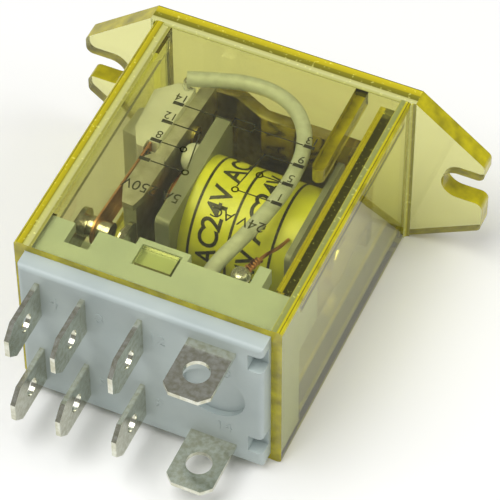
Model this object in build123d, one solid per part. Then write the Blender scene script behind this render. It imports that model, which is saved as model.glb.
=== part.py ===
from build123d import *
import math
import os

# Miniature two-pole plug-in power relay, lying on its side.
# X runs across the cover, +Y points from the plug blades to the mounting plate, +Z is up.
# The outlines below use Y = 0 at the open end of the cover and Z = 0 at its underside.
# Sizes are in millimetres.

# Cover: a clear moulded box whose closed end carries a mounting plate with two ears.
cover_width = 27.5
cover_height = 20.0
cover_length = 31.2
side_wall = 1.1
flat_wall = 0.9
cover_edge_round = 0.4
panel_depth = 0.05
rib_width_left = 1.0
rib_width_right = 1.65
rib_depth = 1.6
plate_thickness = 1.9
plate_top_width = 28.4
plate_foot_width = 27.6
ear_span = 43.4
ear_top_z = 14.0
ear_low_z_left = 6.3
ear_low_z_right = 4.6
ear_round = 0.8
slot_pitch = 38.0
slot_width = 3.5
slot_z = 10.15

# Base: the moulded header that closes the cover and carries the blades.
base_fit = 0.05
base_protrusion = 1.9
base_depth = 2.0
rim_length = 4.7
rim_wall = 1.2
front_round = 0.5
latch_x = -0.65
latch_width = 4.1
latch_start = 2.4
latch_length = 2.6
latch_frame = 0.6
latch_floor = 0.6
latch_fit = 0.2
notch_left = -9.6
notch_width = 2.5
key_pocket_depth = 1.5
key_pocket_width = 1.5
key_pocket_height = 2.3
base_recess_radius = 3.3
base_recess_depth = 0.6

# Blades: flat quick-connect tabs.
blade_thickness = 0.5
blade_width = 4.8
blade_reach = 6.5
blade_tip = 2.2
blade_tip_length = 1.3
coil_tip = 3.0
coil_tip_length = 0.9
contact_hole_radius = 0.95
contact_hole_reach = 3.0
coil_hole_radius = 1.3
coil_hole_reach = 3.4
column_x = (-10.5, -5.75, 0.15)
row_z_upper = 15.0
row_z_lower = 5.1
coil_blade_x = 7.55
coil_blade_z_upper = 17.15
coil_blade_z_lower = 2.95

# Magnet: bobbin, winding, core and the bent yoke round it.
coil_y = 17.7
coil_z = 10.0
core_radius = 2.8
core_fit = 0.05
neck_radius = 2.2
core_head_radius = 2.6
core_head_height = 0.4
hub_radius = 3.5
winding_radius = 5.5
tape_radius = 5.9
winding_left = -2.6
winding_length = 11.7
flange_left = 1.5
flange_right = 0.6
flange_depth_left = 14.8
flange_depth_right = 13.4
frame_height = 12.4
pole_projection = 1.65
yoke_thickness = 1.3
yoke_joggle = 1.5
short_leg_reach = 5.2
short_leg_height = 6.6
ring_thickness = 0.35
ring_length = 0.7

# Armature: a hinged plate that carries the moving springs on a moulded block.
hinge_x = -6.0
hinge_back = 0.6
travel_deg = 2.7
air_gap = 0.05
armature_thickness = 1.4
armature_near = 11.4
heel_length = 1.7
armature_height = 12.0
tongue_height = 5.0
tongue_reach = 2.4
tongue_fit = 0.2
paddle_thickness = 0.8
spring_thickness = 0.2
spring_width = 3.2
spring_x = -8.0
contact_y = 7.8
contact_radius = 1.1
contact_gap = 0.05
contact_tilt_gap = 0.1
front_button = 1.35
rear_button = 0.7
pad_radius = 1.45
pad_offset = 2.3
rivet_shank = 0.5
rivet_head = 1.0
carrier_clearance = 1.1
carrier_length = 9.0
carrier_rivet_inset = 3.0
carrier_rivet_z = (6.4, 13.6)

# Leads: two insulated flexible wires from the moving springs to the common blades.
lead_radius = 0.78
lead_end_x = 3.4
lead_end_above = 1.4

# Solder joints: the tab of each common blade and the tail of each coil blade.
tab_low = 0.4
tab_high = 2.15
solder_radius = 0.95
solder_height = 0.8
tail_offset = 0.8
tail_width = 1.4

clear_x = cover_width / 2 - side_wall
overall_front = -base_protrusion - blade_reach
overall_back = cover_length + plate_thickness
centre_y = (overall_front + overall_back) / 2
front_y = -base_protrusion
coil_right = winding_left + winding_length
flange_left_x = winding_left - flange_left
flange_right_x = coil_right + flange_right
pole_x = flange_left_x - pole_projection
plate_face_x = pole_x - air_gap
plate_back_x = plate_face_x - armature_thickness
leg_y = coil_y + flange_depth_left / 2 + 1.1
joggle_y = leg_y + yoke_joggle
hinge_y = joggle_y + hinge_back
armature_far = hinge_y + heel_length
carrier_far = joggle_y - carrier_clearance
carrier_near = carrier_far - carrier_length
carrier_rivet_y = carrier_far - carrier_rivet_inset
short_leg_start = coil_y - short_leg_reach
yoke_left_x = plate_face_x + 0.3


def span(x0, x1, y0, y1, z0, z1):
    """A box given by its six faces."""
    centre = ((x0 + x1) / 2, (y0 + y1) / 2, (z0 + z1) / 2)
    return Pos(*centre) * Box(x1 - x0, y1 - y0, z1 - z0)


def rod_x(radius, x0, x1, y, z):
    """A cylinder along X."""
    return Pos((x0 + x1) / 2, y, z) * Rot(0, 90, 0) * Cylinder(radius, x1 - x0)


def rod_z(radius, x, y, z0, z1):
    """A cylinder along Z."""
    return Pos(x, y, (z0 + z1) / 2) * Cylinder(radius, z1 - z0)


def outline_z(points, z0, z1):
    """A polygon in XY raised from z0 to z1."""
    face = make_face(Polyline(*points, close=True))
    return Pos(0, 0, z0) * extrude(face, z1 - z0)


def outline_x(points, x0, x1):
    """A polygon of (y, z) points raised from x0 to x1."""
    face = make_face(Polyline(*[(x0, y, z) for y, z in points], close=True))
    return extrude(face, x1 - x0, dir=(1, 0, 0))


def outline_y(points, y0, y1):
    """A polygon of (x, z) points raised from y0 to y1."""
    face = make_face(Polyline(*[(x, y0, z) for x, z in points], close=True))
    return extrude(face, y1 - y0, dir=(0, 1, 0))


def flip(shape):
    """The same shape turned over to the lower half of the relay."""
    return mirror(shape, Plane.XY.offset(coil_z))


def save(name, *solids):
    """Write one sub-part, with the origin at the centre of the whole relay's footprint."""
    shape = solids[0] if len(solids) == 1 else Compound(children=list(solids))
    moved = Pos(0, -centre_y, 0) * shape
    export_step(moved, f"parts/{name}.step")


def turned_to_rest(shape):
    """Turn a moving piece from the pulled-in place, where it is drawn, to the released one."""
    hinge = Pos(hinge_x, hinge_y, 0)
    return hinge * Rot(0, 0, -travel_deg) * hinge.inverse() * shape


def released_x(x, y):
    """Where a point of the moving body stands across the relay once released."""
    angle = math.radians(travel_deg)
    return hinge_x + (x - hinge_x) * math.cos(angle) + (y - hinge_y) * math.sin(angle)


def ear_plate():
    half_top = plate_top_width / 2
    half_foot = plate_foot_width / 2
    tip = ear_span / 2
    points = [
        (-half_foot, 0), (half_foot, 0), (tip, ear_low_z_right), (tip, ear_top_z),
        (half_top, cover_height), (-half_top, cover_height), (-tip, ear_top_z),
        (-tip, ear_low_z_left),
    ]
    plate = outline_y(points, cover_length, overall_back)
    for side in (-1, 1):
        hole_x = side * slot_pitch / 2
        mouth_x = side * (tip + 1)
        slot = span(min(hole_x, mouth_x), max(hole_x, mouth_x), cover_length, overall_back,
                    slot_z - slot_width / 2, slot_z + slot_width / 2)
        end = Pos(hole_x, (cover_length + overall_back) / 2, slot_z) * Rot(90, 0, 0)
        plate -= slot + end * Cylinder(slot_width / 2, plate_thickness)
    tips = plate.edges().filter_by(Axis.Y).filter_by(lambda e: abs(e.center().X) > tip - 0.01)
    return fillet(tips, ear_round)


def cover_ribs():
    """Ribs moulded inside the cover: four along the corners and one round-ended rod."""
    rib_end = cover_length - 1.2
    roof = cover_height - flat_wall
    ribs = []
    for side, rib_width in ((-1, rib_width_left), (1, rib_width_right)):
        near = side * (clear_x - rib_width)
        wall = side * clear_x
        rib = span(min(near, wall), max(near, wall), rim_length + latch_fit, rib_end,
                   roof - rib_depth, roof)
        ribs += [rib, flip(rib)]
    rod_x_mid = 8.55
    rod_radius = 0.65
    rod_start = 19.9
    rod = span(rod_x_mid - rod_radius, rod_x_mid + rod_radius, rod_start + rod_radius, cover_length,
               roof - 1.8, roof)
    rod += rod_z(rod_radius, rod_x_mid, rod_start + rod_radius, roof - 1.8, roof)
    gusset = span(-clear_x, -clear_x + 0.75, 28.2, cover_length, flat_wall, roof)
    return ribs + [rod, gusset]


def make_cover():
    """The box with its ears; its broad faces are sunk a little between the side walls."""
    half = cover_width / 2
    box = span(-half, half, 0, cover_length, 0, cover_height)
    box = fillet(box.edges().filter_by(Axis.Y), cover_edge_round)
    panel = span(-clear_x, clear_x, 0, cover_length, cover_height - panel_depth, cover_height)
    box = box - panel - flip(panel) + ear_plate()
    box -= span(-clear_x, clear_x, 0, cover_length, flat_wall, cover_height - flat_wall)
    for rib in cover_ribs():
        box += rib
    lug = span(latch_x - latch_width / 2 + latch_fit, latch_x + latch_width / 2 - latch_fit,
               latch_start + latch_fit, latch_start + latch_length - latch_fit,
               cover_height - flat_wall - 0.8, cover_height - flat_wall)
    save("cover", box + lug + flip(lug))


def blade_outline(centre, tip, tip_length, inner_y):
    """Flat blade outline as (y, across) points, from its tip to inner_y."""
    half = blade_width / 2
    tip_y = overall_front
    return [
        (inner_y, centre - half), (tip_y + tip_length, centre - half), (tip_y, centre - tip / 2),
        (tip_y, centre + tip / 2), (tip_y + tip_length, centre + half), (inner_y, centre + half),
    ]


def contact_blade(x, z):
    """One contact blade, upright, from its tip to the back of the base."""
    side = x - blade_thickness / 2
    outline = blade_outline(z, blade_tip, blade_tip_length, base_depth)
    blade = outline_x(outline, side, side + blade_thickness)
    hole = rod_x(contact_hole_radius, side, side + blade_thickness, front_y - contact_hole_reach, z)
    return blade - hole


def coil_blade(z):
    """One coil blade, flat, with its narrow solder tail behind the base."""
    low = z - blade_thickness / 2
    tail_x = coil_blade_x - tail_offset
    outline = blade_outline(coil_blade_x, coil_tip, coil_tip_length, base_depth)
    blade = outline_z([(x, y) for y, x in outline], low, low + blade_thickness)
    blade += span(tail_x - tail_width / 2, tail_x + tail_width / 2, base_depth, 7.4,
                  low, low + blade_thickness)
    return blade - rod_z(coil_hole_radius, coil_blade_x, front_y - coil_hole_reach, low, low + 1)


def fixed_arm(x, z, reach):
    """The blade's arm inside the relay, with a round end behind the fixed contact."""
    half = spring_width / 2 + 0.2
    side = x - blade_thickness / 2
    arm = span(side, side + blade_thickness, base_depth, contact_y, z - half, z + half)
    arm += rod_x(half, side, side + blade_thickness, contact_y, z)
    return arm & span(side, side + blade_thickness, base_depth, contact_y + reach, z - half, z + half)


def common_tail(z, up):
    """The common blade's bent tab, where the flexible lead is soldered."""
    near = column_x[2] - blade_thickness / 2
    inner = z + up * tab_low
    outer = z + up * tab_high
    low = min(inner, outer)
    high = max(inner, outer)
    neck = span(near, near + blade_thickness, base_depth, 3.1, low, high)
    return neck + span(near, lead_end_x + 1.0, 3.1 - blade_thickness, 3.1, low, high)


def make_terminals():
    rows = (("upper", row_z_upper, 1), ("lower", row_z_lower, -1))
    numbers = {"upper": (4, 8, 12), "lower": (1, 5, 9)}
    moving_left = released_x(spring_x - spring_thickness / 2 - rear_button, contact_y)
    nc_face = moving_left - contact_tilt_gap
    no_face = spring_x + spring_thickness / 2 + front_button + contact_gap
    nc_arm = column_x[0] + blade_thickness / 2
    no_arm = column_x[1] - blade_thickness / 2
    for row, z, up in rows:
        closed_break, closed_make, common = numbers[row]
        save(f"terminal_{closed_break}", contact_blade(column_x[0], z) + fixed_arm(column_x[0], z, 2.4))
        save(f"terminal_{closed_make}", contact_blade(column_x[1], z) + fixed_arm(column_x[1], z, 1.4))
        save(f"terminal_{common}", contact_blade(column_x[2], z) + common_tail(z, up))
        save(f"break_contact_{row}", rod_x(contact_radius, nc_arm, nc_face, contact_y, z))
        save(f"make_contact_{row}", rod_x(contact_radius, no_face, no_arm, contact_y, z))
    save("terminal_13", coil_blade(coil_blade_z_upper))
    save("terminal_14", coil_blade(coil_blade_z_lower))


def blade_slots():
    """Everything the blades fill inside the base."""
    slots = []
    for x in column_x:
        for z in (row_z_upper, row_z_lower):
            slots.append(span(x - blade_thickness / 2, x + blade_thickness / 2, front_y, base_depth,
                              z - blade_width / 2, z + blade_width / 2))
    for z in (coil_blade_z_upper, coil_blade_z_lower):
        slots.append(span(coil_blade_x - blade_width / 2, coil_blade_x + blade_width / 2, front_y,
                          base_depth, z - blade_thickness / 2, z + blade_thickness / 2))
    return slots


def latch_window():
    """The frame of the pocket that the cover's lug snaps into, and the pocket itself."""
    top = cover_height - flat_wall - base_fit
    half = latch_width / 2
    frame = span(latch_x - half - latch_frame, latch_x + half + latch_frame, base_depth,
                 latch_start + latch_length + latch_frame, top - rim_wall - latch_floor, top)
    opening = span(latch_x - half, latch_x + half, latch_start, latch_start + latch_length,
                   top - rim_wall, top)
    return frame, opening


def make_base():
    half = clear_x - base_fit
    low = flat_wall + base_fit
    top = cover_height - flat_wall - base_fit
    base = span(-half, half, front_y, rim_length, low, top)
    base -= span(-half + rim_wall, half - rim_wall, base_depth, rim_length, low + rim_wall, top - rim_wall)
    front_edges = base.edges().filter_by(lambda e: e.center().Y < front_y + 0.01)
    base = fillet(front_edges, front_round)
    frame, opening = latch_window()
    for shape in (frame, flip(frame)):
        base += shape
    post = span(8.4, 9.6, rim_length - 0.5, 7.0, top - 2.0, top)
    web = span(flange_left_x, winding_left, base_depth, coil_y - flange_depth_left / 2, 5.0, 12.0)
    barrier = span(-half + rim_wall, flange_left_x, base_depth, 9.3, coil_z - 0.5, coil_z + 0.5)
    yoke_rest = span(flange_right_x, flange_right_x + yoke_thickness + 0.1, base_depth, short_leg_start,
                     7.0, 13.0)
    for shape in (post, flip(post), web, barrier, yoke_rest):
        base += shape
    notch = span(notch_left, notch_left + notch_width, base_depth + 0.2, rim_length, top - rim_wall, top)
    for shape in (opening, flip(opening), notch, flip(notch)):
        base -= shape
    for z in (16.7, 4.1):
        base -= span(half - key_pocket_width, half, front_y, front_y + key_pocket_depth,
                     z - key_pocket_height / 2, z + key_pocket_height / 2)
    for slot in blade_slots():
        base -= slot
    recess = Pos(coil_blade_x, front_y + base_recess_depth / 2, coil_z + 0.2) * Rot(90, 0, 0)
    base -= recess * Cylinder(base_recess_radius, base_recess_depth)
    save("base", base)


def make_coil():
    flange_low = coil_z - frame_height / 2
    flange_high = coil_z + frame_height / 2
    hub = rod_x(hub_radius, winding_left, coil_right, coil_y, coil_z)
    left = span(flange_left_x, winding_left, coil_y - flange_depth_left / 2,
                coil_y + flange_depth_left / 2, flange_low, flange_high)
    right = span(coil_right, flange_right_x, coil_y - flange_depth_right / 2,
                 coil_y + flange_depth_right / 2, flange_low, flange_high)
    bobbin = hub + fillet(left.edges().filter_by(Axis.X), 0.6) + fillet(right.edges().filter_by(Axis.X), 0.6)
    bobbin -= rod_x(core_radius + core_fit, flange_left_x, flange_right_x, coil_y, coil_z)
    save("bobbin", bobbin)
    winding = rod_x(winding_radius, winding_left, coil_right, coil_y, coil_z)
    save("coil_winding", winding - rod_x(hub_radius, winding_left, coil_right, coil_y, coil_z))
    tape = rod_x(tape_radius, winding_left, coil_right, coil_y, coil_z)
    save("coil_tape", tape - rod_x(winding_radius, winding_left, coil_right, coil_y, coil_z))
    pad = rod_x(pad_radius, pole_x + 0.25, flange_left_x, coil_y + pad_offset, flange_high - pad_radius)
    save("stop_pad", fillet(pad.edges().sort_by(Axis.X)[0], 0.9))


def make_core():
    outer_x = flange_right_x + yoke_thickness
    core = rod_x(core_radius, pole_x, flange_right_x, coil_y, coil_z)
    core += rod_x(neck_radius, flange_right_x, outer_x, coil_y, coil_z)
    core += rod_x(core_head_radius, outer_x, outer_x + core_head_height, coil_y, coil_z)
    save("core", core)
    ring = rod_x(core_radius + ring_thickness, pole_x + 0.15, pole_x + 0.15 + ring_length, coil_y, coil_z)
    save("shading_ring", ring - rod_x(core_radius, pole_x, flange_left_x, coil_y, coil_z))


def make_yoke():
    low = coil_z - frame_height / 2
    high = coil_z + frame_height / 2
    outer_x = flange_right_x + yoke_thickness
    points = [
        (flange_right_x, short_leg_start), (outer_x, short_leg_start), (outer_x, leg_y + yoke_thickness),
        (0.3, leg_y + yoke_thickness), (-3.0, joggle_y + yoke_thickness),
        (yoke_left_x, joggle_y + yoke_thickness), (yoke_left_x, joggle_y), (-3.3, joggle_y),
        (0.0, leg_y), (flange_right_x, leg_y),
    ]
    yoke = outline_z(points, low, high)
    corner = yoke.edges().filter_by(Axis.Z).sort_by(lambda e: e.center().X + e.center().Y)[-1]
    yoke = fillet(corner, 1.1)
    yoke -= rod_x(neck_radius, flange_right_x, outer_x, coil_y, coil_z)
    for edge_low, edge_high in ((low, coil_z - short_leg_height / 2), (coil_z + short_leg_height / 2, high)):
        yoke -= span(flange_right_x, outer_x, short_leg_start, leg_y - 1.0, edge_low, edge_high)
    yoke += span(yoke_left_x - tongue_reach, yoke_left_x, joggle_y, joggle_y + yoke_thickness,
                 coil_z - tongue_height / 2, coil_z + tongue_height / 2)
    save("yoke", yoke)


def make_return_spring():
    """A bronze leaf riveted to the back of the yoke, hooked over the armature's heel."""
    thickness = 0.25
    half = 2.0
    back = leg_y + yoke_thickness
    ledge = joggle_y + yoke_thickness
    heel = armature_far + 0.15
    inner = [(8.0, back), (0.3, back), (-3.0, ledge), (yoke_left_x + 0.9, ledge),
             (yoke_left_x + 0.3, heel), (plate_back_x - 1.0, heel)]
    shifted = [(x + 0.6 * thickness, y + thickness) for x, y in inner]
    leaf = outline_z(inner + shifted[::-1], coil_z - half, coil_z + half)
    save("return_spring", leaf)
    rivets = []
    for x in (2.5, 6.5):
        head = Pos(x, back + thickness + 0.2, coil_z) * Rot(90, 0, 0) * Cylinder(0.8, 0.4)
        rivets.append(head)
    save("spring_rivets", *rivets)


def make_armature():
    low = coil_z - armature_height / 2
    high = coil_z + armature_height / 2
    plate = span(plate_back_x, plate_face_x, armature_near, armature_far, low, high)
    plate -= span(plate_back_x, plate_face_x, joggle_y - tongue_fit, joggle_y + yoke_thickness + tongue_fit,
                  coil_z - tongue_height / 2 - tongue_fit, coil_z + tongue_height / 2 + tongue_fit)
    outer = spring_x + spring_thickness / 2 + 0.2
    inner = plate_face_x + 0.5
    near = armature_near - 0.9
    far = carrier_near - 0.2
    paddle = outline_z([(outer, near + 1.9), (outer + 0.9, near), (inner - 0.3, near), (inner, near + 1.5),
                        (inner, far - 1.2), (plate_face_x, far), (outer + 0.4, far), (outer, far - 1.2)],
                       high, high + paddle_thickness)
    arm = plate + paddle + flip(paddle)
    for z in carrier_rivet_z:
        arm -= rod_x(rivet_shank, plate_back_x, plate_face_x, carrier_rivet_y, z)
    save("armature", turned_to_rest(arm))


def carrier_block():
    low = row_z_lower - spring_width / 2 - 0.2
    high = row_z_upper + spring_width / 2 + 0.2
    far = carrier_far
    near = carrier_near
    body = outline_z([(plate_back_x, near + 1.0), (plate_back_x, far), (-9.0, far), (-10.8, far - 1.9),
                      (-10.2, near + 1.9), (-9.0, near), (-8.3, near), (-8.3, near + 1.0)], low, high)
    step = outline_z([(-10.0, near + 2.3), (-10.6, far - 2.2), (-11.9, far - 3.2), (-12.0, near + 2.6)],
                     low + 2.0, high - 2.0)
    return body + step


def moving_spring(z):
    """One leaf of a moving contact, through its block to the solder tail of the lead."""
    left = spring_x - spring_thickness / 2
    leaf = span(left, left + spring_thickness, contact_y, carrier_far + 0.2,
                z - spring_width / 2, z + spring_width / 2)
    leaf += rod_x(spring_width / 2, left, left + spring_thickness, contact_y, z)
    return leaf


def make_moving():
    block = carrier_block()
    rivets = []
    for z in carrier_rivet_z:
        shank = rod_x(rivet_shank, plate_back_x, plate_face_x, carrier_rivet_y, z)
        rivets.append(shank + rod_x(rivet_head, plate_face_x, plate_face_x + 0.3, carrier_rivet_y, z))
    for row, z in (("upper", row_z_upper), ("lower", row_z_lower)):
        leaf = moving_spring(z)
        block -= leaf
        left = spring_x - spring_thickness / 2
        hole = rod_x(rivet_shank, left, left + spring_thickness, contact_y, z)
        button = hole + rod_x(contact_radius, left - rear_button, left, contact_y, z)
        button += rod_x(contact_radius, left + spring_thickness, left + spring_thickness + front_button,
                        contact_y, z)
        save(f"moving_spring_{row}", turned_to_rest(leaf - hole))
        save(f"moving_contact_{row}", turned_to_rest(button))
    save("contact_carrier", turned_to_rest(block))
    save("carrier_rivets", *[turned_to_rest(rivet) for rivet in rivets])


def lead_path():
    """Centre line of the upper lead, from the moving spring's tail to the common blade's tab."""
    return [
        (-8.2, 26.7, 17.8), (-5.1, 27.9, 17.8), (-1.6, 28.8, 17.8), (2.0, 28.2, 17.9), (4.7, 25.9, 18.0),
        (6.2, 22.5, 18.0), (6.5, 18.5, 18.0), (6.0, 14.4, 17.8), (4.9, 10.6, 17.3),
        (lead_end_x, 6.8, row_z_upper + lead_end_above), (lead_end_x, 3.1, row_z_upper + lead_end_above),
    ]


def arc_radii(points):
    """The largest arc that each corner's two runs leave room for."""
    radii = []
    for before, here, after in zip(points, points[1:], points[2:]):
        run_in = Vector(*here) - Vector(*before)
        run_out = Vector(*after) - Vector(*here)
        turn = math.radians(run_in.get_angle(run_out))
        radii.append(0.45 * min(run_in.length, run_out.length) / math.tan(turn / 2))
    return radii


def make_leads():
    points = lead_path()
    radii = arc_radii(points)
    print("lead radii:", [round(radius, 1) for radius in radii])
    wire = FilletPolyline(*points, radius=radii)
    section = Plane(wire @ 0, z_dir=wire % 0) * Circle(lead_radius)
    lead = sweep(section, path=wire)
    print("lead volume / section x length:", lead.volume / (math.pi * lead_radius ** 2 * wire.length))
    save("lead_upper", lead)
    save("lead_lower", flip(lead))


def make_coil_leads():
    """Solder on each coil blade's tail, and the enamelled wire that runs on to the winding."""
    tail_x = coil_blade_x - tail_offset
    tail_top = coil_blade_z_upper + blade_thickness / 2
    dot = rod_z(solder_radius, tail_x, 6.3, tail_top, tail_top + solder_height)
    dot = fillet(dot.edges().sort_by(Axis.Z)[-1], 0.6)
    save("solder_13", dot)
    save("solder_14", flip(dot))
    points = [(tail_x + 0.3, 6.6, tail_top + 0.2), (tail_x + 0.9, 9.4, 17.4), (tail_x + 1.4, 12.2, 15.9),
              (tail_x + 1.5, 14.0, coil_z + tape_radius * 0.86)]
    wire = FilletPolyline(*points, radius=arc_radii(points))
    section = Plane(wire @ 0, z_dir=wire % 0) * Circle(0.18)
    coil_wire = sweep(section, path=wire) - dot
    coil_wire -= rod_x(tape_radius, winding_left, coil_right, coil_y, coil_z)
    coil_wire = coil_wire.solids().sort_by(lambda s: s.volume)[-1]
    save("coil_lead_13", coil_wire)
    save("coil_lead_14", flip(coil_wire))


os.makedirs("parts", exist_ok=True)
make_cover()
make_terminals()
make_base()
make_coil()
make_core()
make_yoke()
make_return_spring()
make_armature()
make_moving()
make_leads()
make_coil_leads()
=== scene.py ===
import math

import bmesh
import bpy
from mathutils import Matrix, Vector


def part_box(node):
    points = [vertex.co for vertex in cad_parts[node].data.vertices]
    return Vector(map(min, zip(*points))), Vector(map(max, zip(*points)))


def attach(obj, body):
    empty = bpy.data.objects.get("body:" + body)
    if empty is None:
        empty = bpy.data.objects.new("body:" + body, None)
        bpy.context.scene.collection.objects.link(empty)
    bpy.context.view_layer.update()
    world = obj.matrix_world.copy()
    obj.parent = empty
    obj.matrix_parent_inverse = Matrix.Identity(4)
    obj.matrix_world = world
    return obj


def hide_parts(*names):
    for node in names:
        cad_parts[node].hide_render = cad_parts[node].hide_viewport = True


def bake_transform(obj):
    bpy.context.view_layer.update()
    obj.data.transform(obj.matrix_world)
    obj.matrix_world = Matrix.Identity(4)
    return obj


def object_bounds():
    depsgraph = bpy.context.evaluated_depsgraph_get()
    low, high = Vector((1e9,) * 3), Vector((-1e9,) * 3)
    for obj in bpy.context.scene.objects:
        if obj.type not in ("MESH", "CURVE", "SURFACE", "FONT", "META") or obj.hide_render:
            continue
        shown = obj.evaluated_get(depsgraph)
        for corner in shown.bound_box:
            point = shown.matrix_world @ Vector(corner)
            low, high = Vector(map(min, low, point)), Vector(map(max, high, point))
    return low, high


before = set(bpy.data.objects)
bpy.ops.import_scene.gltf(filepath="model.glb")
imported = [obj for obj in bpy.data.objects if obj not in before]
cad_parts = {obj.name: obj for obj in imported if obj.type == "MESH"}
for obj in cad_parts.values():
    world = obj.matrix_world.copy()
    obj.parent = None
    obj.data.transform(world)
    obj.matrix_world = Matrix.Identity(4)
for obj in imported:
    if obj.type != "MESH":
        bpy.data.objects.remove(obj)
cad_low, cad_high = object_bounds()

# ---- Base -----------------------------------------------------------------------------------------
# The header that closes the cover. It is glass-filled PBT, injection moulded in a pale cool grey,
# with each blade pushed through its own slot.

MM = 0.001
FIXED = "case"
MOVING = "armature_set"


def linear(text):
    """A linear colour, with full alpha, from an sRGB hex value."""
    parts = [int(text[i:i + 2], 16) / 255 for i in (1, 3, 5)]
    return tuple(p / 12.92 if p <= 0.04045 else ((p + 0.055) / 1.055) ** 2.4 for p in parts) + (1.0,)


def add(tree, kind, values=None, **settings):
    """Add a node with its settings, and its inputs' values or links."""
    node = tree.nodes.new(kind)
    for name, value in settings.items():
        setattr(node, name, value)
    for name, value in (values or {}).items():
        if isinstance(value, bpy.types.NodeSocket):
            tree.links.new(value, node.inputs[name])
        else:
            node.inputs[name].default_value = value
    return node


def new_material(name):
    """An empty material, its node tree and its output node."""
    material = bpy.data.materials.new(name)
    material.use_nodes = True
    tree = material.node_tree
    tree.nodes.clear()
    output = add(tree, "ShaderNodeOutputMaterial")
    return material, tree, output


def ramp(tree, factor, stops):
    """A colour ramp with stops of (position, colour)."""
    node = add(tree, "ShaderNodeValToRGB", {"Fac": factor})
    elements = node.color_ramp.elements
    while len(elements) < len(stops):
        elements.new(0.5)
    for element, (position, colour) in zip(elements, stops):
        element.position = position
        element.color = colour
    return node.outputs["Color"]


def moulded_pbt():
    """Moulded glass-filled PBT: satin, with faint flow marks and a fine pebble from the steel mould.

    The pebble is drawn at 0.25 mm, several times its real size, so that it shows.
    """
    material, tree, output = new_material("moulded_pbt")
    place = add(tree, "ShaderNodeTexCoord").outputs["Object"]
    flow = add(tree, "ShaderNodeTexNoise", {"Vector": place, "Scale": 1 / (6 * MM), "Detail": 3.0})
    grain = add(tree, "ShaderNodeTexNoise", {"Vector": place, "Scale": 1 / (0.25 * MM), "Detail": 4.0})
    colour = ramp(tree, flow.outputs["Fac"], [(0.3, linear("#A8B4B3")), (0.7, linear("#B5C0BD"))])
    rough = add(tree, "ShaderNodeMapRange", {"Value": grain.outputs["Fac"], "To Min": 0.42, "To Max": 0.58})
    bump = add(tree, "ShaderNodeBump",
               {"Height": grain.outputs["Fac"], "Strength": 0.25, "Distance": 0.03 * MM})
    shader = add(tree, "ShaderNodeBsdfPrincipled",
                 {"Base Color": colour, "Roughness": rough.outputs["Result"], "IOR": 1.55,
                  "Normal": bump.outputs["Normal"], "Subsurface Weight": 0.12, "Subsurface Scale": 1.0,
                  "Subsurface Radius": (0.6 * MM, 0.6 * MM, 0.6 * MM)})
    tree.links.new(shader.outputs["BSDF"], output.inputs["Surface"])
    return material


def finish(node_name, material, angle=30, bevel=0.0):
    """Give a CAD piece its material, smooth shading up to an angle in degrees, and softened edges."""
    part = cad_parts[node_name]
    part.data.materials.clear()
    part.data.materials.append(material)
    part.data.polygons.foreach_set("use_smooth", [True] * len(part.data.polygons))
    part.data.set_sharp_from_angle(angle=math.radians(angle))
    if bevel:
        edge = part.modifiers.new("edge", "BEVEL")
        edge.width = bevel
        edge.segments = 2
        edge.limit_method = "ANGLE"
        edge.angle_limit = math.radians(40)
        edge.harden_normals = True


pbt = moulded_pbt()
finish("base", pbt)


def place_mesh(name, mesh, material, body=FIXED):
    """Put a mesh into the scene as a piece, riding on a body, or on none."""
    piece = bpy.data.objects.new(name, mesh)
    bpy.context.scene.collection.objects.link(piece)
    mesh.materials.clear()
    mesh.materials.append(material)
    if body:
        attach(piece, body)
    return piece


def letters(text, size, raised=0.0, weight=0.0):
    """Characters as a mesh, centred on the origin, with X along the line and Y up.

    They are flat unless raised is given, and weight thickens their strokes.
    """
    curve = bpy.data.curves.new("letters", "FONT")
    curve.body = text
    curve.size = size
    curve.extrude = raised
    curve.offset = weight
    curve.resolution_u = 4
    curve.align_x = "CENTER"
    curve.align_y = "CENTER"
    holder = bpy.data.objects.new("letters", curve)
    bpy.context.scene.collection.objects.link(holder)
    mesh = bpy.data.meshes.new_from_object(holder)
    bpy.data.objects.remove(holder)
    return mesh


def turned(place, along, up):
    """The matrix that lays a flat mesh at a place, with its X along one direction and Y up another."""
    along, up = Vector(along), Vector(up)
    axes = Matrix((along, up, along.cross(up))).transposed()
    return Matrix.Translation(place) @ axes.to_4x4()


# Terminal numbers, cut into the mould's steel, so they stand up from the front face. Each one is
# beside its blade: a size in mm, then its place across and up.
NUMBER_HEIGHT = 0.05
CONTACT_NUMBER = 2.0
COIL_NUMBER = 1.8
COLUMNS = (-8.9, -4.15, 1.75)
COIL_COLUMN = 8.6
BASE_NUMBERS = [(number, CONTACT_NUMBER, x, 15.2) for number, x in zip(("4", "8", "12"), COLUMNS)]
BASE_NUMBERS += [(number, CONTACT_NUMBER, x, 5.3) for number, x in zip(("1", "5", "9"), COLUMNS)]
BASE_NUMBERS += [("13", COIL_NUMBER, COIL_COLUMN, 13.7), ("14", COIL_NUMBER, COIL_COLUMN, 5.4)]
front_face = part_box("base")[0].y
for number, size, x, z in BASE_NUMBERS:
    mesh = letters(number, size * MM, raised=NUMBER_HEIGHT * MM)
    mesh.transform(turned((x * MM, front_face, z * MM), (1, 0, 0), (0, 0, 1)))
    place_mesh(f"base_number_{number}", mesh, pbt)

# ---- Blades ---------------------------------------------------------------------------------------
# Eight quick-connect tabs, stamped from half-millimetre brass strip and tin plated. Stamping
# leaves fine drawing lines along each blade, and the tin is slightly clouded.


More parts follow.
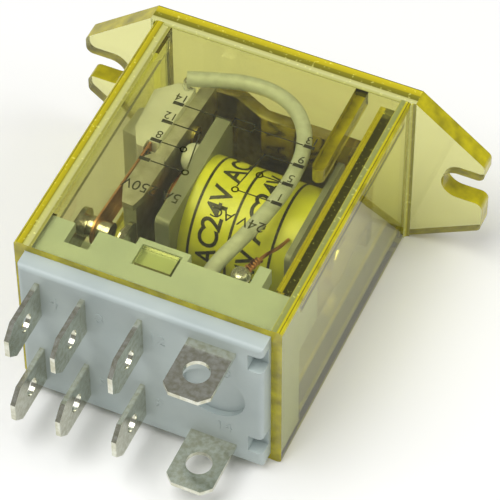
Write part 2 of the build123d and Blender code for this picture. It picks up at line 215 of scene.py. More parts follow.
def tinned_brass():
    """Tin plate over rolled brass: a bright white metal, clouded, with fine lines along the strip.

    The lines are 0.12 mm apart, wider than real ones, so that they show.
    """
    material, tree, output = new_material("tinned_brass")
    place = add(tree, "ShaderNodeTexCoord").outputs["Object"]
    along = add(tree, "ShaderNodeMapping", {"Vector": place, "Scale": (1.0, 0.06, 1.0)})
    lines = add(tree, "ShaderNodeTexNoise",
                {"Vector": along.outputs["Vector"], "Scale": 1 / (0.12 * MM), "Detail": 3.0})
    cloud = add(tree, "ShaderNodeTexNoise", {"Vector": place, "Scale": 1 / (0.5 * MM), "Detail": 6.0})
    colour = ramp(tree, cloud.outputs["Fac"], [(0.35, linear("#C2C1AA")), (0.65, linear("#DFE0D3"))])
    rough = add(tree, "ShaderNodeMapRange", {"Value": cloud.outputs["Fac"], "To Min": 0.1, "To Max": 0.24})
    bump = add(tree, "ShaderNodeBump",
               {"Height": lines.outputs["Fac"], "Strength": 0.2, "Distance": 0.01 * MM})
    shader = add(tree, "ShaderNodeBsdfPrincipled",
                 {"Base Color": colour, "Metallic": 1.0, "Roughness": rough.outputs["Result"],
                  "Normal": bump.outputs["Normal"]})
    tree.links.new(shader.outputs["BSDF"], output.inputs["Surface"])
    return material


tin = tinned_brass()
for number in (1, 4, 5, 8, 9, 12, 13, 14):
    finish(f"terminal_{number}", tin, bevel=0.06 * MM)

# ---- Contacts -------------------------------------------------------------------------------------
# Silver-alloy rivets, headed cold into the brass arms and the bronze leaves. In each row the
# moving one rests on the break contact, and goes over to the make contact when the coil pulls.


def silver_alloy():
    """Cold-headed silver alloy: warm white, polished by the heading tool, with dull spots."""
    material, tree, output = new_material("silver_alloy")
    place = add(tree, "ShaderNodeTexCoord").outputs["Object"]
    spots = add(tree, "ShaderNodeTexNoise", {"Vector": place, "Scale": 1 / (0.5 * MM), "Detail": 4.0})
    colour = ramp(tree, spots.outputs["Fac"], [(0.3, linear("#CFC6B0")), (0.6, linear("#F1ECDD"))])
    rough = add(tree, "ShaderNodeMapRange", {"Value": spots.outputs["Fac"], "To Min": 0.14, "To Max": 0.34})
    shader = add(tree, "ShaderNodeBsdfPrincipled",
                 {"Base Color": colour, "Metallic": 1.0, "Roughness": rough.outputs["Result"]})
    tree.links.new(shader.outputs["BSDF"], output.inputs["Surface"])
    return material


silver = silver_alloy()
for row in ("upper", "lower"):
    for kind in ("break_contact", "make_contact", "moving_contact"):
        finish(f"{kind}_{row}", silver, bevel=0.25 * MM)

# ---- Coil -----------------------------------------------------------------------------------------
# A moulded nylon bobbin, wound with enamelled copper wire and wrapped in a yellow polyester tape
# with black print. Both ends of the wire are soldered to the tails of the coil's blades.


def moulded_nylon():
    """Natural nylon: slightly see-through at thin edges, satin, with a faint grey-green cast."""
    material, tree, output = new_material("moulded_nylon")
    place = add(tree, "ShaderNodeTexCoord").outputs["Object"]
    flow = add(tree, "ShaderNodeTexNoise", {"Vector": place, "Scale": 1 / (4 * MM), "Detail": 3.0})
    colour = ramp(tree, flow.outputs["Fac"], [(0.3, linear("#7C8073")), (0.7, linear("#8E9186"))])
    shader = add(tree, "ShaderNodeBsdfPrincipled",
                 {"Base Color": colour, "Roughness": 0.45, "IOR": 1.53, "Subsurface Weight": 0.3,
                  "Subsurface Scale": 1.0, "Subsurface Radius": (1.0 * MM, 1.0 * MM, 0.8 * MM)})
    tree.links.new(shader.outputs["BSDF"], output.inputs["Surface"])
    return material


def copper_wire():
    """Enamelled copper wire: turns lie side by side, so the surface is ribbed round the coil, and the
    hollows between turns are painted darker as painted shade.

    Real turns are 0.1 mm apart and would not show, so the ribs are drawn 0.79 mm apart. A band of
    the wave node is tau / 20 of its scaled length.
    """
    material, tree, output = new_material("copper_wire")
    place = add(tree, "ShaderNodeTexCoord").outputs["Object"]
    turns = add(tree, "ShaderNodeTexWave",
                {"Vector": place, "Scale": math.tau / 20 / (0.79 * MM), "Distortion": 0.4},
                wave_type="BANDS", bands_direction="X")
    # The hollows between turns are painted darker: painted shade.
    colour = ramp(tree, turns.outputs["Fac"], [(0.0, linear("#6B3A1C")), (0.6, linear("#C68A56"))])
    bump = add(tree, "ShaderNodeBump", {"Height": turns.outputs["Fac"], "Distance": 0.05 * MM})
    shader = add(tree, "ShaderNodeBsdfPrincipled",
                 {"Base Color": colour, "Metallic": 0.8, "Roughness": 0.3,
                  "Normal": bump.outputs["Normal"]})
    tree.links.new(shader.outputs["BSDF"], output.inputs["Surface"])
    return material


def polyester_tape():
    """Yellow polyester film: glossy, with soft creases where it pulls over the windings; the crease hollows
    are painted darker as painted shade.
    """
    material, tree, output = new_material("polyester_tape")
    place = add(tree, "ShaderNodeTexCoord").outputs["Object"]
    crease_and_shade = add(tree, "ShaderNodeTexNoise", {"Vector": place, "Scale": 1 / (2.5 * MM), "Detail": 3.0})
    # The crease hollows are painted darker: painted shade.
    colour = ramp(tree, crease_and_shade.outputs["Fac"], [(0.3, linear("#C8CB26")), (0.7, linear("#E6E63C"))])
    bump = add(tree, "ShaderNodeBump",
               {"Height": crease_and_shade.outputs["Fac"], "Strength": 0.5, "Distance": 0.15 * MM})
    shader = add(tree, "ShaderNodeBsdfPrincipled",
                 {"Base Color": colour, "Roughness": 0.32, "IOR": 1.6, "Normal": bump.outputs["Normal"]})
    tree.links.new(shader.outputs["BSDF"], output.inputs["Surface"])
    return material


copper = copper_wire()
finish("bobbin", moulded_nylon())
finish("coil_winding", copper)
finish("coil_tape", polyester_tape(), angle=50)


def tape_ink():
    """Black printing ink on the film: dense, slightly worn where the turns pull tight."""
    material, tree, output = new_material("tape_ink")
    place = add(tree, "ShaderNodeTexCoord").outputs["Object"]
    worn = add(tree, "ShaderNodeTexNoise", {"Vector": place, "Scale": 1 / (0.6 * MM), "Detail": 5.0})
    colour = ramp(tree, worn.outputs["Fac"], [(0.45, linear("#17170C")), (0.8, linear("#4A4A14"))])
    shader = add(tree, "ShaderNodeBsdfPrincipled", {"Base Color": colour, "Roughness": 0.4})
    tree.links.new(shader.outputs["BSDF"], output.inputs["Surface"])
    return material


# The print on the tape, in mm: three lines round it, and a row of ratings in each of two bands.
# A band is its place across and how far round from the top its first rating is.
INK_LIFT = 0.015
STRIPE_X = (-1.5, 2.5, 6.9)
STRIPE_WIDTH = 0.28
STRIPE_STEPS = 128
RATING = "24V AC"
RATING_SIZE = 2.9
RATING_WEIGHT = 0.06
RATINGS_ROUND = 4
RATING_BANDS = ((0.5, -0.6), (4.7, 3.4))
BEND_STEP = 0.4
tape_low, tape_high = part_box("coil_tape")
tape_middle = (tape_low + tape_high) / 2
tape_radius = (tape_high.z - tape_low.z) / 2
tape_length = math.tau * tape_radius


def round_the_coil(along, x):
    """A point just over the tape, given how far it is round from the top, towards the plate."""
    angle = along / tape_radius
    reach = tape_radius + INK_LIFT * MM
    return Vector((x, tape_middle.y + reach * math.sin(angle), tape_middle.z + reach * math.cos(angle)))


def tape_stripe(x):
    """A thin line printed once round the tape."""
    points = []
    for i in range(STRIPE_STEPS):
        along = i * tape_length / STRIPE_STEPS
        points += [round_the_coil(along, (x + side * STRIPE_WIDTH) * MM) for side in (-0.5, 0.5)]
    count = len(points)
    faces = [(i, i + 1, (i + 3) % count, (i + 2) % count) for i in range(0, count, 2)]
    mesh = bpy.data.meshes.new("tape_stripe")
    mesh.from_pydata(points, [], faces)
    return mesh


def tape_rating(x, start):
    """A rating bent round the tape, its tops towards the contacts, cut into steps so that it bends."""
    mesh = letters(RATING, RATING_SIZE * MM, weight=RATING_WEIGHT * MM)
    shape = bmesh.new()
    shape.from_mesh(mesh)
    half_length = max(abs(vertex.co.x) for vertex in shape.verts)
    cuts = int(half_length / (BEND_STEP * MM))
    for i in range(-cuts, cuts + 1):
        everything = shape.verts[:] + shape.edges[:] + shape.faces[:]
        cut = (i * BEND_STEP * MM, 0, 0)
        bmesh.ops.bisect_plane(shape, geom=everything, plane_co=cut, plane_no=(1, 0, 0))
    for vertex in shape.verts:
        vertex.co = round_the_coil(start + vertex.co.x, x - vertex.co.y)
    shape.to_mesh(mesh)
    shape.free()
    return mesh


ink = tape_ink()
for i, x in enumerate(STRIPE_X):
    place_mesh(f"tape_stripe_{i + 1}", tape_stripe(x), ink)
for band, (x, shift) in enumerate(RATING_BANDS):
    for turn in range(RATINGS_ROUND):
        mesh = tape_rating(x * MM, turn * tape_length / RATINGS_ROUND + shift * MM)
        place_mesh(f"tape_rating_{band + 1}_{turn + 1}", mesh, ink)
for name in ("coil_lead_13", "coil_lead_14"):
    finish(name, copper)


def bright_solder():
    """Tin-lead solder: a smooth bright dome, a little dull where it froze last."""
    material, tree, output = new_material("bright_solder")
    place = add(tree, "ShaderNodeTexCoord").outputs["Object"]
    frost = add(tree, "ShaderNodeTexNoise", {"Vector": place, "Scale": 1 / (0.4 * MM), "Detail": 4.0})
    rough = add(tree, "ShaderNodeMapRange", {"Value": frost.outputs["Fac"], "To Min": 0.12, "To Max": 0.4})
    bump = add(tree, "ShaderNodeBump", {"Height": frost.outputs["Fac"], "Distance": 0.05 * MM})
    shader = add(tree, "ShaderNodeBsdfPrincipled",
                 {"Base Color": linear("#DCDDDA"), "Metallic": 1.0, "Roughness": rough.outputs["Result"],
                  "Normal": bump.outputs["Normal"]})
    tree.links.new(shader.outputs["BSDF"], output.inputs["Surface"])
    return material


solder = bright_solder()
for name in ("solder_13", "solder_14"):
    finish(name, solder, angle=60)

# ---- Magnet ---------------------------------------------------------------------------------------
# A soft-iron core riveted into a bent steel yoke, with a copper ring on its pole. The armature
# rocks on the yoke's end, all of it zinc plated, and leaves of bronze carry the moving contacts
# and pull the armature back.


def plated_steel(name, dark, bright, smooth, dull):
    """Zinc plate on pressed steel: bright, with a gold passivation, clouds and rolling lines.

    The colours and roughnesses are those of the darkest and the brightest clouds.
    """
    material, tree, output = new_material(name)
    place = add(tree, "ShaderNodeTexCoord").outputs["Object"]
    cloud = add(tree, "ShaderNodeTexNoise", {"Vector": place, "Scale": 1 / (1.2 * MM), "Detail": 5.0})
    lines = add(tree, "ShaderNodeTexNoise", {"Vector": place, "Scale": 1 / (0.15 * MM), "Detail": 2.0})
    colour = ramp(tree, cloud.outputs["Fac"], [(0.3, linear(dark)), (0.7, linear(bright))])
    rough = add(tree, "ShaderNodeMapRange",
                {"Value": cloud.outputs["Fac"], "To Min": smooth, "To Max": dull})
    bump = add(tree, "ShaderNodeBump",
               {"Height": lines.outputs["Fac"], "Strength": 0.2, "Distance": 0.01 * MM})
    shader = add(tree, "ShaderNodeBsdfPrincipled",
                 {"Base Color": colour, "Metallic": 1.0, "Roughness": rough.outputs["Result"],
                  "Normal": bump.outputs["Normal"]})
    tree.links.new(shader.outputs["BSDF"], output.inputs["Surface"])
    return material


steel = plated_steel("plated_steel", "#DDCB62", "#F4E8A6", 0.05, 0.2)
finish("yoke", steel, bevel=0.18 * MM)
finish("core", steel, bevel=0.15 * MM)
finish("armature", plated_steel("bright_zinc", "#D8D6BC", "#F8F7EA", 0.28, 0.52), bevel=0.2 * MM)
for name in ("spring_rivets", "carrier_rivets"):
    finish(name, steel, bevel=0.1 * MM)
finish("shading_ring", copper)


def phosphor_bronze():
    """Rolled phosphor bronze: warm copper-brown metal with rolling lines along the leaf."""
    material, tree, output = new_material("phosphor_bronze")
    place = add(tree, "ShaderNodeTexCoord").outputs["Object"]
    along = add(tree, "ShaderNodeMapping", {"Vector": place, "Scale": (1.0, 0.05, 1.0)})
    lines = add(tree, "ShaderNodeTexNoise",
                {"Vector": along.outputs["Vector"], "Scale": 1 / (0.1 * MM), "Detail": 3.0})
    colour = ramp(tree, lines.outputs["Fac"], [(0.3, linear("#C48656")), (0.7, linear("#E8BA90"))])
    shader = add(tree, "ShaderNodeBsdfPrincipled",
                 {"Base Color": colour, "Metallic": 1.0, "Roughness": 0.42})
    tree.links.new(shader.outputs["BSDF"], output.inputs["Surface"])
    return material


bronze = phosphor_bronze()
for name in ("return_spring", "moving_spring_upper", "moving_spring_lower"):
    finish(name, bronze)

# ---- Contact carrier and stop pad -----------------------------------------------------------------
# Cream acetal mouldings. The carrier is riveted to the armature and holds both moving springs off
# it, and the pad stops the armature quietly.


def cream_acetal():
    """Moulded acetal: waxy cream white, with light that spreads a little under the surface."""
    material, tree, output = new_material("cream_acetal")
    place = add(tree, "ShaderNodeTexCoord").outputs["Object"]
    flow = add(tree, "ShaderNodeTexNoise", {"Vector": place, "Scale": 1 / (3 * MM), "Detail": 3.0})
    colour = ramp(tree, flow.outputs["Fac"], [(0.3, linear("#C4C6C2")), (0.7, linear("#D4D6D4"))])
    shader = add(tree, "ShaderNodeBsdfPrincipled",
                 {"Base Color": colour, "Roughness": 0.4, "IOR": 1.48, "Subsurface Weight": 0.4,
                  "Subsurface Scale": 1.0, "Subsurface Radius": (1.2 * MM, 1.1 * MM, 0.8 * MM)})
    tree.links.new(shader.outputs["BSDF"], output.inputs["Surface"])
    return material


cream = cream_acetal()
finish("contact_carrier", cream, bevel=0.2 * MM)
finish("stop_pad", cream, bevel=0.35 * MM)

# ---- Leads ----------------------------------------------------------------------------------------
# Two fine-stranded leads in white PVC, from the moving springs to the common blades. The bared
# end of each one moves with its spring, and its jacket rides on no body.


def white_pvc():
    """Extruded PVC insulation: soft white with a satin skin and faint die lines."""
    material, tree, output = new_material("white_pvc")
    place = add(tree, "ShaderNodeTexCoord").outputs["Object"]
    skin = add(tree, "ShaderNodeTexNoise", {"Vector": place, "Scale": 1 / (0.8 * MM), "Detail": 4.0})
    colour = ramp(tree, skin.outputs["Fac"], [(0.3, linear("#AAB0AE")), (0.7, linear("#BCC2C2"))])
    bump = add(tree, "ShaderNodeBump",
               {"Height": skin.outputs["Fac"], "Strength": 0.3, "Distance": 0.05 * MM})
    shader = add(tree, "ShaderNodeBsdfPrincipled",
                 {"Base Color": colour, "Roughness": 0.42, "IOR": 1.53, "Normal": bump.outputs["Normal"]})
    tree.links.new(shader.outputs["BSDF"], output.inputs["Surface"])
    return material


# The upper lead's route and its bare strands, in mm. The lower lead is its mirror image.
LEAD_RADIUS = 0.78
STRANDS_RADIUS = 0.42
STRANDS_END_X = -8.0
STRANDS_END_SHORT = 0.3
MIDDLE_Z = 10.0
mouth_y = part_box("cover")[0].y
LEAD_ROUTE = [
    (-8.2, 26.7, 17.8), (-5.1, 27.9, 17.8), (-1.6, 28.8, 17.8), (2.0, 28.2, 17.9), (4.7, 25.9, 18.0),
    (6.2, 22.5, 18.0), (6.5, 18.5, 18.0), (6.0, 14.4, 17.8), (4.9, 10.6, 17.3), (3.4, 6.8, 16.4),
    (3.4, 3.1, 16.4),
]


def from_mouth(x, y, z):
    """A place in metres, from mm across, behind the cover's mouth and up."""
    return Vector((x * MM, mouth_y + y * MM, z * MM))


def tube(name, points, radius):
    """A round tube along one smooth line, as a mesh."""
    curve = bpy.data.curves.new(name, "CURVE")
    curve.dimensions = "3D"
    curve.bevel_depth = radius
    curve.bevel_resolution = 6
    curve.resolution_u = 10
    curve.use_fill_caps = True
    spline = curve.splines.new("NURBS")
    spline.points.add(len(points) - 1)
    for point, place in zip(spline.points, points):
        point.co = (*place, 1.0)
    spline.order_u = 3
    spline.use_endpoint_u = True
    holder = bpy.data.objects.new(name, curve)
    bpy.context.scene.collection.objects.link(holder)
    mesh = bpy.data.meshes.new_from_object(holder)
    bpy.data.objects.remove(holder)
    mesh.polygons.foreach_set("use_smooth", [True] * len(mesh.polygons))
    mesh.set_sharp_from_angle(angle=math.radians(60))
    return mesh


pvc = white_pvc()
for row, side in (("upper", 1), ("lower", -1)):
    route = [from_mouth(x, y, MIDDLE_Z + side * (z - MIDDLE_Z)) for x, y, z in LEAD_ROUTE]
    jacket = tube("lead", route, LEAD_RADIUS * MM)
    lead = place_mesh(f"flexible_lead_{row}", jacket, pvc, None)
    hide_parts(f"lead_{row}")
    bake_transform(lead)
    spring_low, spring_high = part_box(f"moving_spring_{row}")
    spring_edge = spring_high.z if side > 0 else spring_low.z
    tail = Vector((STRANDS_END_X * MM, route[0].y - STRANDS_END_SHORT * MM, spring_edge))
    strands = tube("strands", [route[1], route[0], (route[0] + tail) / 2, tail], STRANDS_RADIUS * MM)
    place_mesh(f"tinned_strands_{row}", strands, solder, MOVING)

# Where each coil wire is joined to its tail: a few turns of bare wire twisted round it, and
# soldered. The two ends of the twist are in mm, the last value up or down from the middle.
SPLICE_START = (6.9, 6.9, 7.6)
SPLICE_END = (7.6, 9.3, 7.4)
SPLICE_TURNS = 5
SPLICE_STEPS = 12
SPLICE_RADIUS = 0.30
SPLICE_WIRE_RADIUS = 0.11


def splice_helix(start, end):
    """Points round the line from start to end, a little fatter in the middle."""
    along = (end - start).normalized()
    aside = along.cross(Vector((0, 0, 1))).normalized()
    above = aside.cross(along)
    steps = SPLICE_TURNS * SPLICE_STEPS
    points = []
    for i in range(steps + 1):
        angle = math.tau * i / SPLICE_STEPS
        swell = SPLICE_RADIUS * MM * (1 + 0.15 * math.sin(3.1 * angle / SPLICE_TURNS))
        middle = start.lerp(end, 0.15 + 0.7 * i / steps)
        points.append(middle + (aside * math.cos(angle) + above * math.sin(angle)) * swell)
    return points


for number, side in ((13, 1), (14, -1)):
    start, end = (from_mouth(x, y, MIDDLE_Z + side * z) for x, y, z in (SPLICE_START, SPLICE_END))
    wire = tube("splice", splice_helix(start, end), SPLICE_WIRE_RADIUS * MM)
    place_mesh(f"wire_splice_{number}", wire, copper)

# ---- Cover ----------------------------------------------------------------------------------------
# One clear moulding in yellow-tinted polycarbonate: box, mounting plate and ears. It looks pale
# where light crosses one thin wall, and deep yellow where it runs along a wall to an edge. The
# faces where led light comes out have opaque materials of their own, with that light painted on
# as painted glow, and the shaded inside seen in them as painted reflection.


def clear_polycarbonate():
    """Yellow-tinted polycarbonate: clear and lightly scuffed, its colour deeper where it is thicker."""
    material, tree, output = new_material("clear_polycarbonate")
    place = add(tree, "ShaderNodeTexCoord").outputs["Object"]
    rub = add(tree, "ShaderNodeTexNoise", {"Vector": place, "Scale": 1 / (1.4 * MM), "Detail": 6.0})
    rough = add(tree, "ShaderNodeMapRange", {"Value": rub.outputs["Fac"], "To Min": 0.01, "To Max": 0.06})
    glass = add(tree, "ShaderNodeBsdfPrincipled",
                {"Base Color": linear("#EEEDE6"), "Roughness": rough.outputs["Result"], "IOR": 1.58,
                 "Transmission Weight": 1.0})
    open_way = add(tree, "ShaderNodeBsdfTransparent", {"Color": linear("#DDDED0")})
    shadow = add(tree, "ShaderNodeLightPath").outputs["Is Shadow Ray"]
    mix = tree.nodes.new("ShaderNodeMixShader")
    tree.links.new(shadow, mix.inputs[0])
    tree.links.new(glass.outputs["BSDF"], mix.inputs[1])
    tree.links.new(open_way.outputs["BSDF"], mix.inputs[2])
    tint = add(tree, "ShaderNodeVolumeAbsorption",
               {"Color": (0.895, 0.888, 0.0, 1.0), "Density": 1 / (2.6 * MM)})
    tree.links.new(mix.outputs["Shader"], output.inputs["Surface"])
    tree.links.new(tint.outputs["Volume"], output.inputs["Volume"])
    return material


def painted_edge_glow():
    """Edge of the clear moulding, with the light led along the walls painted on: an opaque, deep yellow
    painted glow.
    """
    material, tree, output = new_material("painted_edge_glow")
    place = add(tree, "ShaderNodeTexCoord").outputs["Object"]
    streak = add(tree, "ShaderNodeTexNoise", {"Vector": place, "Scale": 1 / (1.6 * MM), "Detail": 5.0})
    colour = ramp(tree, streak.outputs["Fac"], [(0.3, linear("#8A8200")), (0.7, linear("#C6BA00"))])
    shader = add(tree, "ShaderNodeBsdfPrincipled", {"Base Color": colour, "Roughness": 0.2, "IOR": 1.58})
    tree.links.new(shader.outputs["BSDF"], output.inputs["Surface"])
    return material


def painted_light_bands(name, axis, start, end, stops):
    """Painted light on the top of a wall or rib: bands of painted yellow glow and of olive painted
    reflection along it, with bright specks.
    """
    material, tree, output = new_material(name)
    place = add(tree, "ShaderNodeTexCoord").outputs["Object"]
    across = add(tree, "ShaderNodeSeparateXYZ", {"Vector": place}).outputs[axis]
    band = add(tree, "ShaderNodeMapRange", {"Value": across, "From Min": start, "From Max": end})
    base = ramp(tree, band.outputs["Result"], [(position, linear(hue)) for position, hue in stops])
    specks = add(tree, "ShaderNodeTexNoise", {"Vector": place, "Scale": 1 / (0.35 * MM), "Detail": 2.0})
    bright = ramp(tree, specks.outputs["Fac"], [(0.62, (0, 0, 0, 1)), (0.72, linear("#8C8C50"))])
    colour = add(tree, "ShaderNodeMix", {"Factor": 1.0}, data_type="RGBA", blend_type="ADD")
    tree.links.new(base, colour.inputs[6])
    tree.links.new(bright, colour.inputs[7])
    shader = add(tree, "ShaderNodeBsdfPrincipled",
                 {"Base Color": colour.outputs[2], "Roughness": 0.25, "IOR": 1.58})
    tree.links.new(shader.outputs["BSDF"], output.inputs["Surface"])
    return material


def cover_ink():
    """Screen-printed black ink: thin and flat, with pinholes too small to see one by one."""
    material, tree, output = new_material("cover_ink")
    place = add(tree, "ShaderNodeTexCoord").outputs["Object"]
    pinholes = add(tree, "ShaderNodeTexNoise", {"Vector": place, "Scale": 1 / (0.3 * MM), "Detail": 4.0})
    colour = ramp(tree, pinholes.outputs["Fac"], [(0.4, linear("#20200F")), (0.75, linear("#4E4E26"))])
    shader = add(tree, "ShaderNodeBsdfPrincipled", {"Base Color": colour, "Roughness": 0.5})
    tree.links.new(shader.outputs["BSDF"], output.inputs["Surface"])
    return material


finish("cover", clear_polycarbonate(), angle=25)
cover_low, cover_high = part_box("cover")
# Sizes of the cover from the CAD, in metres.
PLATE_THICKNESS = 1.9 * MM
WALL_OUTER_X = 13.75 * MM
WALL_INNER_X = 12.65 * MM
EDGE_ROUND = 0.4 * MM
RIB_INNER_X = 11.0 * MM
RIB_FACE = 7.5 * MM
ROD_X = 8.55 * MM
ROD_RADIUS = 0.65 * MM
ROD_LOW = 17.3 * MM
ROD_HIGH = 19.05 * MM
plate_y = cover_high.y - PLATE_THICKNESS
TINY = 0.01 * MM
# The painted light on each face, as fractions of the way across it, and where each face lies: painted glow
# in yellow, and painted reflections of the shaded inside in olive.
band_stops = {
    "plate_band": [(0.0, "#C8C888"), (0.22, "#BDBB70"), (0.26, "#6E6A12"), (0.55, "#85800F"),
                   (0.6, "#B4A60C"), (0.93, "#CDBE14"), (0.97, "#6A640C")],
    "wall_band_left": [(0.0, "#BBAE0A"), (0.6, "#A89C08"), (0.78, "#7A730C"), (0.84, "#B4B45A")],
    "wall_band_right": [(0.0, "#B7AE1A"), (0.1, "#8F9452"), (0.7, "#868C48"), (0.8, "#B9AE10")],
    "rib_band": [(0.0, "#D2C52A"), (0.18, "#C8BA22"), (0.22, "#34330F"), (0.84, "#43411A"),
                 # The rib's dark middle band is a painted reflection of the shaded inside.
                 (0.88, "#A29B14")],
}
band_places = {
    "plate_band": ("Y", plate_y, cover_high.y),
    "wall_band_left": ("X", -WALL_OUTER_X + EDGE_ROUND, -WALL_INNER_X),
    "wall_band_right": ("X", WALL_INNER_X, WALL_OUTER_X - EDGE_ROUND),
    "rib_band": ("X", RIB_INNER_X, WALL_INNER_X),
}
# Faces of the cover that get painted glow and painted reflection in place of the light the clear plastic
# leads to them.
EDGE, PLATE, LEFT, RIGHT, RIB = 1, 2, 3, 4, 5
cover_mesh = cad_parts["cover"].data
cover_mesh.materials.append(painted_edge_glow())
for name, (axis, start, end) in band_places.items():
    cover_mesh.materials.append(painted_light_bands(name, axis, start, end, band_stops[name]))
for polygon in cover_mesh.polygons:
    across, along, height = polygon.center
    normal = polygon.normal
    flat = abs(normal.z) > 0.99
    outermost = height > cover_high.z - TINY or height < cover_low.z + TINY
    middle_height = abs(height - MIDDLE_Z * MM)
    in_rod = ROD_LOW - TINY < height < ROD_HIGH and abs(across - ROD_X) < ROD_RADIUS + TINY
    if along < cover_low.y + TINY and normal.y < -0.9:
        polygon.material_index = EDGE
    elif along > plate_y - TINY and abs(normal.y) < 0.5:
        polygon.material_index = PLATE if flat and outermost else EDGE
    elif abs(across) > WALL_OUTER_X - EDGE_ROUND and 0.05 < abs(normal.z) < 0.97:
        polygon.material_index = EDGE
    elif flat and outermost:
        polygon.material_index = LEFT if across < 0 else RIGHT
    elif flat and across > RIB_INNER_X and abs(middle_height - RIB_FACE) < TINY:
        polygon.material_index = RIB
    elif in_rod and normal.x < 0.9:
        polygon.material_index = EDGE

# Small fillets of the same moulding, where the box meets the plate, and the slopes at the end and
# the left side of the sunk panel: opaque, with the light they gather painted on as bright lines of
# painted glow beside olive painted shade.
CORNER_RADIUS = 0.5 * MM
PANEL_SLOPE = 0.36 * MM
SIDE_SLOPE = 0.8 * MM
PANEL_DEPTH = 0.05 * MM
panel_z = cover_high.z - PANEL_DEPTH


def cast_strip(name, profile, start, end, place, material):
    """A strip with one section all along: place(a, b, along) puts its points at start and end."""
    shape = bmesh.new()
    near = [shape.verts.new(place(a, b, start)) for a, b in profile]
    far = [shape.verts.new(place(a, b, end)) for a, b in profile]
    shape.faces.new(near)
    shape.faces.new(far)
    for i in range(len(profile)):
        shape.faces.new((near[i - 1], near[i], far[i], far[i - 1]))
    bmesh.ops.recalc_face_normals(shape, faces=shape.faces)
    mesh = bpy.data.meshes.new(name)
    shape.to_mesh(mesh)
    shape.free()
    place_mesh(name, mesh, material)


hollow = [(CORNER_RADIUS * (1 - math.sin(turn)), CORNER_RADIUS * (1 - math.cos(turn)))
          for turn in (math.radians(15 * step) for step in range(7))]
corner_glow = painted_light_bands("corner_band", "X", WALL_OUTER_X, WALL_OUTER_X + CORNER_RADIUS,
                        [(0.0, "#C6C878"), (0.3, "#C4BC3C"), (0.5, "#8E8828"), (0.9, "#A5A152")])
for side, name in ((1, "corner_fillet_right"), (-1, "corner_fillet_left")):
    cast_strip(name, [(0, 0)] + hollow, cover_low.z, cover_high.z,
               lambda a, b, along: (side * (WALL_OUTER_X + a), plate_y - b, along), corner_glow)
panel_glow = painted_light_bands("panel_end_band", "Y", plate_y - PANEL_SLOPE, plate_y,
                       [(0.0, "#86842E"), (0.3, "#AEAE60"), (1.0, "#BCBC74")])
cast_strip("panel_end_slope", [(0, 0), (PANEL_SLOPE, 0), (0, PANEL_DEPTH)], -WALL_INNER_X, WALL_INNER_X,
           lambda a, b, along: (along, plate_y - a, panel_z + b), panel_glow)
side_glow = painted_light_bands("panel_side_band", "X", -WALL_INNER_X, -WALL_INNER_X + SIDE_SLOPE,
                      [(0.0, "#C0BE6C"), (0.55, "#B9B874"), (0.7, "#8F8C34"), (1.0, "#A09E50")])
cast_strip("panel_side_slope", [(0, 0), (SIDE_SLOPE, 0), (0, PANEL_DEPTH)],
           cover_low.y, plate_y - PANEL_SLOPE,
           lambda a, b, along: (a - WALL_INNER_X, along, panel_z + b), side_glow)

# The print on the cover: a plain wiring diagram of two changeover contacts and a coil, read from
# the blade end, with the terminal numbers beside short bars. All of it is in mm: rows and other
# lengths behind the mouth, and places across counted from the middle out.
COIL_ROW = 21.96
ROW_PITCH = 2.58
PIN_X = 6.9
PIN_HALF = 0.35
PIN_WIDTH = 0.42
LINE = 0.14
LEG_END_X = 6.2
MAKE_END_X = 4.3
MAKE_CIRCLE_X = 4.0
PIVOT_X = 3.4
REST_END_X = 2.9
REST_CIRCLE_X = 2.6
ARM_SHORT = 0.5
CIRCLE_RADIUS = 0.3
CIRCLE_SIDES = 16
COIL_BOX_X = 1.1
COIL_BOX_HALF = 0.5
INK_THICKNESS = 0.02
NUMBER_SIZE = 1.35
NUMBER_ABOVE = 0.85
COVER_RATING_SIZE = 1.7
COVER_RATING_ROW = 10.95


def printed(segments, width):
    """Straight printed strokes on the cover, as thin flat bars let into its surface."""
    shape = bmesh.new()
    for (x0, y0), (x1, y1) in segments:
        start = from_mouth(x0, y0, 0)
        end = from_mouth(x1, y1, 0)
        along = (end - start).normalized()
        length = (end - start).length + width * MM
        stroke = Matrix.Diagonal((length, width * MM, INK_THICKNESS * MM, 1))
        middle = (start + end) / 2 + Vector((0, 0, panel_z))
        turn = turned(middle, along, Vector((0, 0, 1)).cross(along))
        bmesh.ops.create_cube(shape, size=1.0, matrix=turn @ stroke)
    mesh = bpy.data.meshes.new("printed")
    shape.to_mesh(mesh)
    shape.free()
    return mesh


def circle(x, y):
    """A printed circle, as short strokes."""
    turns = [math.tau * i / CIRCLE_SIDES for i in range(CIRCLE_SIDES + 1)]
    corners = [(x + CIRCLE_RADIUS * math.cos(turn), y + CIRCLE_RADIUS * math.sin(turn)) for turn in turns]
    return list(zip(corners, corners[1:]))


def changeover(side, common, make, rest):
    """Strokes of one changeover contact: the common line, its arm and both fixed contacts."""
    pivot = (side * PIVOT_X, common)
    strokes = [((side * LEG_END_X, common), pivot), (pivot, (side * REST_CIRCLE_X, rest + ARM_SHORT))]
    strokes += [((side * LEG_END_X, make), (side * MAKE_END_X, make))]
    strokes += [((side * LEG_END_X, rest), (side * REST_END_X, rest))]
    return strokes + circle(side * MAKE_CIRCLE_X, make) + circle(side * REST_CIRCLE_X, rest)


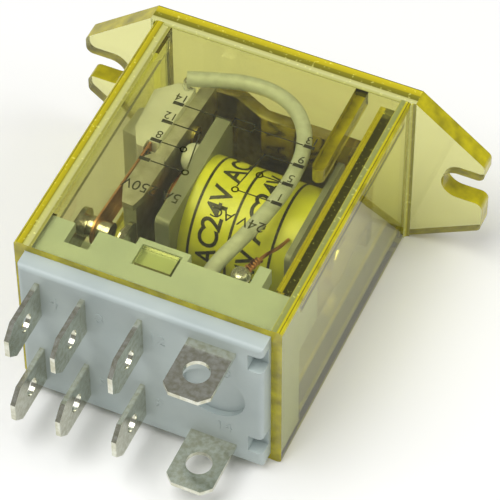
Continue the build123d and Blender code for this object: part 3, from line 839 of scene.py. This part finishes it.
rows = [COIL_ROW - i * ROW_PITCH for i in range(4)]
coil_row, common_row, make_row, rest_row = rows
bars = [((side * PIN_X - PIN_HALF, row), (side * PIN_X + PIN_HALF, row))
        for side in (1, -1) for row in rows]
lines = changeover(1, common_row, make_row, rest_row) + changeover(-1, common_row, make_row, rest_row)
coil_box = [(-COIL_BOX_X, coil_row - COIL_BOX_HALF), (COIL_BOX_X, coil_row - COIL_BOX_HALF),
            (COIL_BOX_X, coil_row + COIL_BOX_HALF), (-COIL_BOX_X, coil_row + COIL_BOX_HALF)]
lines += list(zip(coil_box, coil_box[1:] + coil_box[:1]))
lines += [((side * LEG_END_X, coil_row), (side * COIL_BOX_X, coil_row)) for side in (1, -1)]
black = cover_ink()
place_mesh("diagram_bars", printed(bars, PIN_WIDTH), black)
place_mesh("diagram_lines", printed(lines, LINE), black)


def cover_letters(name, text, size, x, y):
    """Printed characters on the cover, the right way up from the blade end."""
    mesh = letters(text, size * MM, raised=INK_THICKNESS / 2 * MM)
    mesh.transform(turned(from_mouth(x, y, 0) + Vector((0, 0, panel_z)), (-1, 0, 0), (0, -1, 0)))
    place_mesh(name, mesh, black)


for side, numbers in ((1, ("13", "9", "5", "1")), (-1, ("14", "12", "8", "4"))):
    for row, number in zip(rows, numbers):
        cover_letters(f"cover_number_{number}", number, NUMBER_SIZE, side * PIN_X, row + NUMBER_ABOVE)
cover_letters("cover_coil_rating", RATING, COVER_RATING_SIZE, 4.4, COVER_RATING_ROW)
cover_letters("cover_contact_rating", "5A 250V", COVER_RATING_SIZE, -4.6, COVER_RATING_ROW)

# ---- Studio ---------------------------------------------------------------------------------------
# A plain pale sweep of paper just under the relay, lit by two soft boxes and a dim white sky, and
# the camera. Places are in metres and powers in watts.


def pale_floor():
    """Matt white paper: even, with no pattern that shows."""
    material, tree, output = new_material("pale_floor")
    shader = add(tree, "ShaderNodeBsdfPrincipled", {"Base Color": linear("#F4F4F2"), "Roughness": 0.9})
    tree.links.new(shader.outputs["BSDF"], output.inputs["Surface"])
    return material


FLOOR_HALF = 1.2
FLOOR_GAP = 0.02 * MM
floor_mesh = bpy.data.meshes.new("floor")
floor_corners = [(x * FLOOR_HALF, y * FLOOR_HALF, 0) for x, y in ((-1, -1), (1, -1), (1, 1), (-1, 1))]
floor_mesh.from_pydata(floor_corners, [], [(0, 1, 2, 3)])
floor = bpy.data.objects.new("floor", floor_mesh)
floor.location.z = cad_low.z - FLOOR_GAP
bpy.context.scene.collection.objects.link(floor)
floor.data.materials.append(pale_floor())

SKY_STRENGTH = 0.3
world = bpy.data.worlds.new("studio")
world.use_nodes = True
world.node_tree.nodes["Background"].inputs["Color"].default_value = (1.0, 1.0, 1.0, 1.0)
world.node_tree.nodes["Background"].inputs["Strength"].default_value = SKY_STRENGTH
bpy.context.scene.world = world


def soft_light(name, place, size, power):
    """A square soft box at a place, turned to the middle of the relay."""
    data = bpy.data.lights.new(name, "AREA")
    data.size = size
    data.energy = power
    lamp = bpy.data.objects.new(name, data)
    lamp.location = place
    lamp.rotation_mode = "QUATERNION"
    lamp.rotation_quaternion = (Vector((0, 0, MIDDLE_Z * MM)) - Vector(place)).to_track_quat("-Z", "Y")
    bpy.context.scene.collection.objects.link(lamp)


soft_light("key", place=(-0.12, -0.14, 0.45), size=0.35, power=1.95)
soft_light("fill", place=(0.35, 0.05, 0.30), size=0.30, power=0.8)
bpy.context.scene.view_settings.view_transform = "Standard"

# The camera stands 0.32 m off, above and to the right of the blade end, behind a long lens.
CAMERA_PLACE = (0.085825, -0.178980, 0.252329)
CAMERA_RIGHT = (0.91268, 0.40866, -0.00271)
CAMERA_FORWARD = (-0.26189, 0.57978, -0.77154)
camera_data = bpy.data.cameras.new("camera")
camera_data.lens = 232.3
camera_data.sensor_width = 36.0
camera_data.clip_start = 0.01
camera_data.clip_end = 10
camera = bpy.data.objects.new("camera", camera_data)
right = Vector(CAMERA_RIGHT).normalized()
forward = Vector(CAMERA_FORWARD).normalized()
axes = Matrix((right, right.cross(forward), -forward)).transposed()
camera.matrix_world = Matrix.Translation(CAMERA_PLACE) @ axes.to_4x4()
bpy.context.scene.collection.objects.link(camera)
bpy.context.scene.camera = camera
